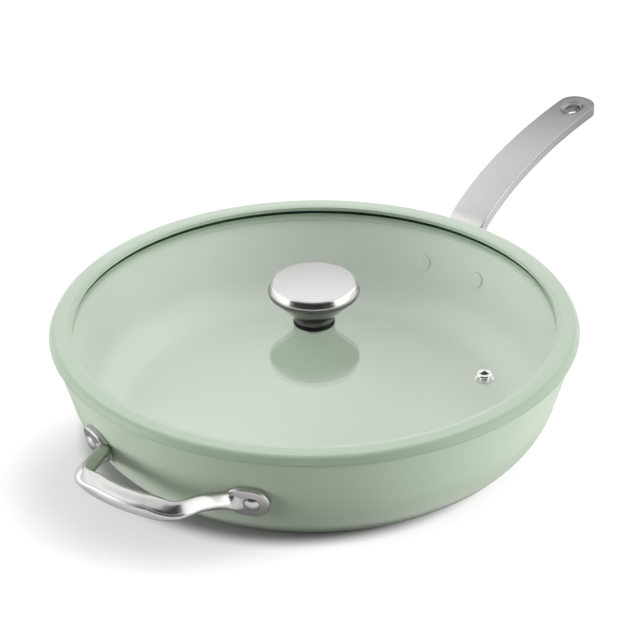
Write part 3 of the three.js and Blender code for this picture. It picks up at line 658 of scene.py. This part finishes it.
# the loop is a superellipse section carried along the path: wide in the bar, slim in the arms, and twisted
# so that the top of the bar becomes the face of each lug
def helperHandle(size):
    wall = float(wallAt(size["rivetHeight"])[0])
    height, bar = size["rivetHeight"], size["rivetHeight"] + size["rise"]
    tailAngle = np.radians(size["rivetAngle"])
    tailRadius = wall + plateSize["gap"] + plateSize["thickness"] / 2
    tail, root = [
        np.array([-radius * np.cos(angle), radius * np.sin(angle), height]) for radius, angle in (
            (tailRadius, tailAngle), (wall + size["rootReach"], tailAngle - size["rootSpacing"] / wall))]
    bend = np.array([-(wall + size["cornerReach"]), size["halfSpan"], bar])
    beside = np.array([-(wall + size["reach"] - size["bow"]), size["halfSpan"] / 2, bar])
    middle = np.array([-(wall + size["reach"]), 0, bar])
    half = [tail, root, (root + bend) / 2 + [0, 0, size["armRise"]], bend, beside]
    path = smoothPath(half + [middle] + [point * [1, -1, 1] for point in half[::-1]], 241)
    along = np.gradient(path, axis=0)
    along /= np.linalg.norm(along, axis=1, keepdims=True)
    across = np.cross([0, 0, 1], along)
    across /= np.linalg.norm(across, axis=1, keepdims=True)
    up = np.cross(along, across)
    beyond = np.abs(path[:, 1:2])
    armEnd = root[1] - size["rootLead"]
    toArm = smoothStep(beyond, size["halfSpan"] / 3, armEnd)
    toLug = smoothStep(beyond, armEnd, tail[1])
    roll, width, thick, squareness = [
        inBar + (inArm - inBar) * toArm + (inLug - inArm) * toLug for inBar, inArm, inLug in (
            np.radians(size["tilt"]), size["width"], size["thickness"], size["squareness"])]
    across, up = across * np.cos(roll) + up * np.sin(roll), up * np.cos(roll) - across * np.sin(roll)
    power = 2 / squareness
    angle = np.linspace(0, 2 * np.pi, 65)
    side = width / 2 * np.sign(np.cos(angle)) * np.abs(np.cos(angle)) ** power
    rise = thick / 2 * np.sign(np.sin(angle)) * np.abs(np.sin(angle)) ** power
    skin = path[:, None] + side[..., None] * across[:, None] + rise[..., None] * up[:, None]
    caps = [np.stack([np.broadcast_to(path[i], skin[i].shape), skin[i]]) for i in (0, -1)]
    piece = makePiece("helperHandle", [outsideWall(grid) for grid in [skin] + caps], castSteel)
    for sign in (1, -1):
        ends = sorted([0, -sign * size["lugLength"]])
        lug = wallPlate(np.pi + sign * tailAngle, height, *ends, size["lugRadius"], plateSize)
        combine(piece, makePiece("helperLug", [lug], castSteel), "UNION")
    return piece


standsFor(helperHandle(helperSize), "helper_handle", "pan")
for side, sign in (("right", 1), ("left", -1)):
    azimuth = np.pi + sign * np.radians(helperSize["rivetAngle"])
    piece = rivet("helperRivet" + side.capitalize(), azimuth, helperSize["rivetHeight"], rivetSize)
    standsFor(piece, "helper_rivet_" + side, "pan")
print("helper handle made")


# Lid

lidSize = dict(sight=138.5, glassTop=66.3, crown=1, glassThickness=4, glassRadius=143.5, bore=2.6,
               ventHole=3.3, drillFrom=50, drillTo=80)
rimSize = dict(seat=64, radius=152, top=69.5, lip=0.85, lipLean=0.15, crown=0.25, inner=3.2,
               shoulder=149.7, foot=0.7, footRun=0.4, skirtTop=146.2, skirtOut=144.1, skirtIn=140.7,
               skirtFoot=57.2, ledge=139.9, ledgeFoot=59.4, pocket=143.8, crevice=2.6, gapOver=0.35,
               gapUnder=0.3, slack=0.1)


# its channel grips the edge of the glass, its foot sits on the pan and its skirt hangs inside
def siliconeRim(lid, size):
    sight, top, seat = lid["sight"], size["top"], size["seat"]
    lip, over = lid["glassTop"] + size["lip"], lid["glassTop"] + size["gapOver"]
    under = lid["glassTop"] - lid["glassThickness"] - size["gapUnder"]
    profile = softCorners([
        (sight, lip, 0.2),
        (sight + size["lipLean"], top - size["crown"], 0.35),
        (sight + size["inner"], top, 3),
        (size["shoulder"], top - size["crown"], 3),
        (size["radius"], seat + size["foot"], 0.5),
        (size["radius"] - size["footRun"], seat, 0.4),
        (size["skirtTop"], seat, 0.5),
        (size["skirtOut"], size["skirtFoot"], 1.0),
        (size["skirtIn"], size["skirtFoot"], 1.2),
        (size["ledge"], size["ledgeFoot"], 1.0),
        (size["ledge"], under, 0.4),
        (size["pocket"], under, 0.2),
        (size["pocket"], over, 0.2),
        (sight + size["crevice"], over, 0.2)], closed=True)
    piece = makePiece("lidSiliconeRim", [turned(profile, 256)], silicone)
    place = faceMiddles(piece)
    reach, height = np.hypot(place[:, 0], place[:, 1]), place[:, 2]
    roof = np.interp(reach, [sight, sight + size["crevice"]], [lip, over]) + size["slack"]
    between = (reach > sight + size["lipLean"]) & (reach < size["pocket"] + size["slack"])
    # painted shade: the faces inside the channel get the near-black silicone
    giveFaces(piece, channelShadeSilicone, between & (height < roof) & (height > under - size["slack"] / 2))
    return piece


# the glass is crowned inside the rim, its height falling with the square of the radius, and flat in it
def lidGlass(size):
    radius = np.linspace(size["bore"], size["sight"], 60)
    top, under = size["glassTop"], size["glassTop"] - size["glassThickness"]
    face = np.stack([radius, top + size["crown"] * (1 - (radius / size["sight"]) ** 2)], axis=-1)
    edge = softCorners([
        (size["sight"], top, 0), (size["glassRadius"], top, 1),
        (size["glassRadius"], under, 1), (size["sight"], under, 0)])
    profile = np.vstack([face, edge, face[::-1] - [0, size["glassThickness"]], face[:1]])
    piece = makePiece("lidGlass", [turned(profile, 256)], glass)
    low, high, hole = size["drillFrom"], size["drillTo"], size["ventHole"]
    drill = turned(np.array([[0, low], [hole, low], [hole, high], [0, high]]), 48) + ventShift
    combine(piece, makePiece("ventDrill", [drill], glass), "DIFFERENCE")
    return piece


standsFor(siliconeRim(lidSize, rimSize), "lid_silicone_rim", "lid")
standsFor(lidGlass(lidSize), "lid_glass", "lid")
print("lid rim and glass made")

ventSize = dict(bore=2.05, tube=3, flange=4.8, flangeEdge=0.3, flangeThickness=1.15, curl=3.9, curlHeight=0.8)


# a tube with a flange over the glass and a rolled end below
def ventEyelet(size):
    low, high = ventBox[:, 2] / mm
    seat, rolled = high - size["flangeThickness"], low + size["curlHeight"]
    profile = softCorners([
        (size["bore"], low, 0.4), (size["curl"], low, 0.4),
        (size["curl"], rolled, 0.3), (size["tube"], rolled, 0.2),
        (size["tube"], seat, 0.1), (size["flange"], seat, 0.25),
        (size["flange"] - size["flangeEdge"], high, 0.7), (size["bore"], high, 0.75)], closed=True)
    return makePiece("steamVentEyelet", [turned(profile, 64) + ventShift], ventSteel)


# a flat ring with softened edges, made in its node's own box
def flatRing(name, node, bore, edge, material, shift=(0, 0, 0)):
    low, high = np.array(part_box(node)) / mm
    radius = (high[0] - low[0]) / 2
    profile = softCorners([
        (bore, low[2], edge), (radius, low[2], edge),
        (radius, high[2], edge), (bore, high[2], edge)], closed=True)
    return makePiece(name, [turned(profile, 72) + shift], material)


standsFor(ventEyelet(ventSize), "steam_vent_eyelet", "lid")
ventWasher = flatRing("steamVentWasher", "steam_vent_washer", lidSize["ventHole"], 0.2, ventSteel, ventShift)
standsFor(ventWasher, "steam_vent_washer", "lid")

knobSize = dict(neck=11.5, neckHeight=2.9, flare=1.6, flareEnd=0.96, radius=26.2, waist=18.9, height=24.2,
                topRadius=24.2, topCrown=0.3, topEdge=1.5, waistEdge=5.5, bore=5.3, boreTop=14.5)


# mushroom profile: straight neck, cubic flare, bevelled edge and a top crowned with the square of the radius
def lidKnob(size):
    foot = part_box("lid_knob")[0][2] / mm
    t = np.linspace(0, size["flareEnd"], 40)[:, None]
    neckTop = np.array([size["neck"], size["neckHeight"]])
    widest = np.array([size["radius"], size["waist"]])
    flare = cubic(t, neckTop, neckTop + size["flare"], widest - [0, size["flare"]], widest)
    edge = size["height"] - size["topCrown"]
    inward = np.linspace(1, 0, 30)[1:]
    top = np.stack([size["topRadius"] * inward, edge + size["topCrown"] * (1 - inward ** 2)], axis=-1)
    bevel = softCorners([
        (*flare[-1], 0), (*widest, size["waistEdge"]),
        (size["topRadius"], edge, size["topEdge"]), (*top[0], 0)])
    hollow = softCorners([
        (0, size["boreTop"], 0), (size["bore"], size["boreTop"], 0.2), (size["bore"], 0, 0.3),
        (size["neck"], 0, 0.5), (*neckTop, 0)])
    profile = np.vstack([hollow, flare, bevel, top]) + [0, foot]
    return makePiece("lidKnob", [turned(profile, 160)], knobSteel)


standsFor(lidKnob(knobSize), "lid_knob", "lid")
for name, node, edge, material, slot in (
        ("knobThreadedInsert", "knob_threaded_insert", 0.3, lidSteel, "brushed_steel"),
        ("knobGasket", "knob_gasket", 0.5, gasketBlack, "black_silicone"),
        ("knobSoftWasher", "knob_soft_washer", 0.3, silicone, "sage_silicone"),
        ("knobSteelWasher", "knob_steel_washer", 0.2, lidSteel, "brushed_steel")):
    standsFor(flatRing(name, node, lidSize["bore"], edge, material), node, "lid")

screwSize = dict(radius=2.2, tipEdge=0.4, head=4, headHeight=2.2, domeShare=0.9, recess=1.2, recessWidth=1.2,
                 recessLength=4.2)


# a domed pan head and a shank; two crossed bars cut the recess
def knobScrew(size):
    low, high = np.array(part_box("knob_screw"))[:, 2] / mm
    bow = np.linspace(0, np.pi / 2, 16)
    rise = size["headHeight"] * (1 - np.cos(bow)) * size["domeShare"]
    dome = np.stack([size["head"] * np.sin(bow), low + rise], axis=-1)
    seat, edge = low + size["headHeight"], size["tipEdge"]
    rest = [(size["head"], seat), (size["radius"], seat), (size["radius"], high - edge),
            (size["radius"] - edge, high), (0, high)]
    piece = makePiece("knobScrew", [turned(np.vstack([dome, rest]), 64)], lidSteel)
    slot = (size["recessWidth"], size["recessLength"])
    for wide, long in (slot, slot[::-1]):
        turn = np.array([1, -1, -1, 1, 1])
        side = np.array([1, 1, -1, -1, 1])
        scale = np.array([0, 1, 1, 0])[:, None]
        level = low + np.array([-1, -1, size["recess"], size["recess"]])[:, None]
        bar = np.stack([turn * wide / 2 * scale, side * long / 2 * scale, level + 0 * turn], axis=-1)
        combine(piece, makePiece("screwBar", [bar], lidSteel), "DIFFERENCE")
    return piece


standsFor(knobScrew(screwSize), "knob_screw", "lid")
print("vent and knob made")


# Studio

studio = dict(heading=53.5, tilt=29.4, roll=-0.68, distance=2000, lens=196.3, sensor=36, near=0.05, far=50,
              aim=(-3.27, -1.72, 67))


# the camera looks at the lid's height from its heading and tilt, then slides sideways and up in its view
def makeCamera(view):
    turn, tilt, roll = np.radians([view["heading"], view["tilt"], view["roll"]])
    forward = np.array([np.cos(tilt) * np.sin(turn), np.cos(tilt) * np.cos(turn), -np.sin(tilt)])
    right = np.array([np.cos(turn), -np.sin(turn), 0])
    up = np.cross(right, forward)
    rolledRight = np.cos(roll) * right + np.sin(roll) * up
    rolledUp = np.cos(roll) * up - np.sin(roll) * right
    eye = np.array([0, 0, view["aim"][2]]) - view["distance"] * forward
    eye = (eye - view["aim"][0] * rolledRight - view["aim"][1] * rolledUp) * mm
    data = bpy.data.cameras.new("camera")
    data.sensor_width = view["sensor"]
    data.lens = view["lens"]
    data.clip_start, data.clip_end = view["near"], view["far"]
    camera = bpy.data.objects.new("camera", data)
    matrix = np.eye(4)
    matrix[:3] = np.stack([rolledRight, rolledUp, -forward, eye], axis=-1)
    camera.matrix_world = Matrix(matrix.tolist())
    bpy.context.scene.collection.objects.link(camera)
    bpy.context.scene.camera = camera
    return right, np.array([np.sin(turn), np.cos(turn), 0])


cameraRight, cameraAway = makeCamera(studio)

# each painted shadow in mm: centre to the camera's left and towards it, start and end of its fade; last, its
# depth
floorLook = dict(colour="#9A9A9A", gloss=(0.85, 0.95), grain=40, lift=0.74, glossShift=35, size=12, drop=0.05,
                 paintedShadows=((12, 7, 113, 129, 1), (82, 66, 60, 116, 0.38)))


# a pale painted floor; what is seen of it, straight or in metal and glass, is lifted to white outside
# painted shadows round the pan, which reach further out in metal and in shiny coats; its paint also takes
# real shadows
def makeFloor(look):
    material, tree = newMaterial("paintedFloor")
    place = addNode(tree, "ShaderNodeTexCoord").outputs["Object"]
    grain = addNode(tree, "ShaderNodeTexNoise", {"Vector": place, "Scale": 1 / (look["grain"] * mm)})
    gloss = addNode(tree, "ShaderNodeMapRange", {
        "Value": grain.outputs["Fac"], "To Min": look["gloss"][0], "To Max": look["gloss"][1]})
    paint = addNode(tree, "ShaderNodeBsdfPrincipled", {
        "Base Color": linear(look["colour"]), "Roughness": gloss.outputs["Result"],
        "Specular IOR Level": 0.0})
    rays = addNode(tree, "ShaderNodeLightPath")
    seen = addNode(tree, "ShaderNodeMath", {
        0: rays.outputs["Is Camera Ray"], 1: rays.outputs["Is Glossy Ray"]}, operation="ADD")
    seen = addNode(tree, "ShaderNodeMath", {
        0: seen.outputs["Value"], 1: rays.outputs["Is Transmission Ray"]}, operation="ADD", use_clamp=True)
    flat = addNode(tree, "ShaderNodeVectorMath", {0: place, 1: (1, 1, 0)}, operation="MULTIPLY")
    level = addNode(tree, "ShaderNodeMath", {
        0: seen.outputs["Value"], 1: look["lift"]}, operation="MULTIPLY")
    # painted shadow: the white lift fades near each listed centre
    for left, front, start, end, depth in look["paintedShadows"]:
        middle = tuple(-(left * cameraRight + front * cameraAway) * mm)
        reach = addNode(tree, "ShaderNodeVectorMath", {
            0: flat.outputs["Vector"], 1: middle}, operation="DISTANCE")
        reach = addNode(tree, "ShaderNodeMath", {
            0: rays.outputs["Is Glossy Ray"], 1: -look["glossShift"] * mm, 2: reach.outputs["Value"]},
            operation="MULTIPLY_ADD")
        fade = addNode(tree, "ShaderNodeMapRange", {
            "Value": reach.outputs["Value"], "From Min": start * mm, "From Max": end * mm,
            "To Min": 1 - depth}, interpolation_type="SMOOTHSTEP")
        level = addNode(tree, "ShaderNodeMath", {
            0: level.outputs["Value"], 1: fade.outputs["Result"]}, operation="MULTIPLY")
    white = addNode(tree, "ShaderNodeEmission", {"Color": (1, 1, 1, 1), "Strength": level.outputs["Value"]})
    both = addNode(tree, "ShaderNodeAddShader", {0: paint.outputs["BSDF"], 1: white.outputs["Emission"]})
    addNode(tree, "ShaderNodeOutputMaterial", {"Surface": both.outputs["Shader"]})
    half, level = look["size"] / 2 / mm, -look["drop"]
    grid = np.array([
        [(-half, -half, level), (half, -half, level)],
        [(-half, half, level), (half, half, level)]])
    floor = makePiece("floor", [grid], material)


makeFloor(floorLook)

# The studio's light by direction: soft boxes left and right, weaker where they are mirrored, a sloping
# light over the back that fades towards the horizon, a plain ceiling, and a dark side behind the camera that
# shows a light strip in mirrors. A white strip runs along the horizon, and the camera sees plain white.
lightLook = dict(ceiling=1.15, back=1.75, backLow=0.55, left=19, right=13.8, boxSeen=2.3, front=0.02,
                 frontSeen=0.9, edge=0.36, edgeSeen=0.45, swing=0.09, horizon=1.0, background=1.0)

# each ramp goes from 0 to 1 between two values of a direction: its height, its part to the right or to the
# front, or how far it lies within the dark side
lightRamps = dict(
    backRise=("height", 0.34, 0.6), ceilingRise=("height", 0.7, 0.92),
    leftSide=("right", -0.5, -0.8), leftTop=("height", 0.42, 0.26),
    rightSide=("right", 0.5, 0.8), rightTop=("height", 0.62, 0.42), boxAhead=("front", -0.45, 0.05),
    darkSide=("within", 0, 0.15), darkTop=("height", 0.95, 0.85),
    stripFoot=("height", 0.46, 0.52), stripTop=("height", 0.62, 0.58), horizonTop=("height", 0.05, 0.02))


def makeWorld(look, ramps):
    world = bpy.data.worlds.new("studio")
    bpy.context.scene.world = world
    world.use_nodes = True
    tree = world.node_tree
    tree.nodes.clear()
    way = addNode(tree, "ShaderNodeTexCoord").outputs["Generated"]
    height = addNode(tree, "ShaderNodeSeparateXYZ", {"Vector": way}).outputs["Z"]
    flat = addNode(tree, "ShaderNodeVectorMath", {0: way, 1: (1, 1, 0)}, operation="MULTIPLY")
    level = addNode(tree, "ShaderNodeVectorMath", {0: flat.outputs["Vector"]}, operation="NORMALIZE")
    darkWay = -np.cos(look["swing"]) * cameraAway - np.sin(look["swing"]) * cameraRight
    toRight, toFront = [addNode(tree, "ShaderNodeVectorMath", {
        0: level.outputs["Vector"], 1: tuple(axis)}, operation="DOT_PRODUCT").outputs["Value"]
        for axis in (cameraRight, darkWay)]
    rays = addNode(tree, "ShaderNodeLightPath")
    mirrored = rays.outputs["Is Glossy Ray"]
    edge = addNode(tree, "ShaderNodeMix", {
        "Factor": mirrored, "A": look["edge"], "B": look["edgeSeen"]}, data_type="FLOAT")
    within = addNode(tree, "ShaderNodeMath", {0: toFront, 1: edge.outputs["Result"]}, operation="SUBTRACT")
    axes = dict(height=height, right=toRight, front=toFront, within=within.outputs["Value"])
    share = dict(mirrored=mirrored, camera=rays.outputs["Is Camera Ray"])
    for name, (axis, low, high) in ramps.items():
        share[name] = addNode(tree, "ShaderNodeMapRange", {
            "Value": axes[axis], "From Min": low, "From Max": high},
            interpolation_type="SMOOTHSTEP").outputs["Result"]
    share["boxAhead"] = addNode(tree, "ShaderNodeMath", {
        0: share["boxAhead"], 1: mirrored}, operation="MAXIMUM").outputs["Value"]
    # each row covers one light with another, by the product of its shares
    light = dict(look)
    for name, under, cover, shares in (
            ("leftBox", "left", "boxSeen", ["mirrored"]),
            ("rightBox", "right", "boxSeen", ["mirrored"]),
            ("dark", "front", "frontSeen", ["stripFoot", "stripTop", "mirrored"]),
            ("sky", "backLow", "back", ["backRise"]),
            ("sky", "sky", "ceiling", ["ceilingRise"]),
            ("sky", "sky", "leftBox", ["leftSide", "leftTop", "boxAhead"]),
            ("sky", "sky", "rightBox", ["rightSide", "rightTop", "boxAhead"]),
            ("sky", "sky", "dark", ["darkSide", "darkTop"]),
            ("sky", "sky", "horizon", ["horizonTop"]),
            ("sky", "sky", "background", ["camera"])):
        factor = share[shares[0]]
        for other in shares[1:]:
            factor = addNode(tree, "ShaderNodeMath", {
                0: factor, 1: share[other]}, operation="MULTIPLY").outputs["Value"]
        light[name] = addNode(tree, "ShaderNodeMix", {
            "Factor": factor, "A": light[under], "B": light[cover]}, data_type="FLOAT").outputs["Result"]
    sky = addNode(tree, "ShaderNodeBackground", {"Color": (1, 1, 1, 1), "Strength": light["sky"]})
    addNode(tree, "ShaderNodeOutputWorld", {"Surface": sky.outputs["Background"]})


makeWorld(lightLook, lightRamps)

bpy.context.scene.view_settings.view_transform = "Standard"
print("studio made")
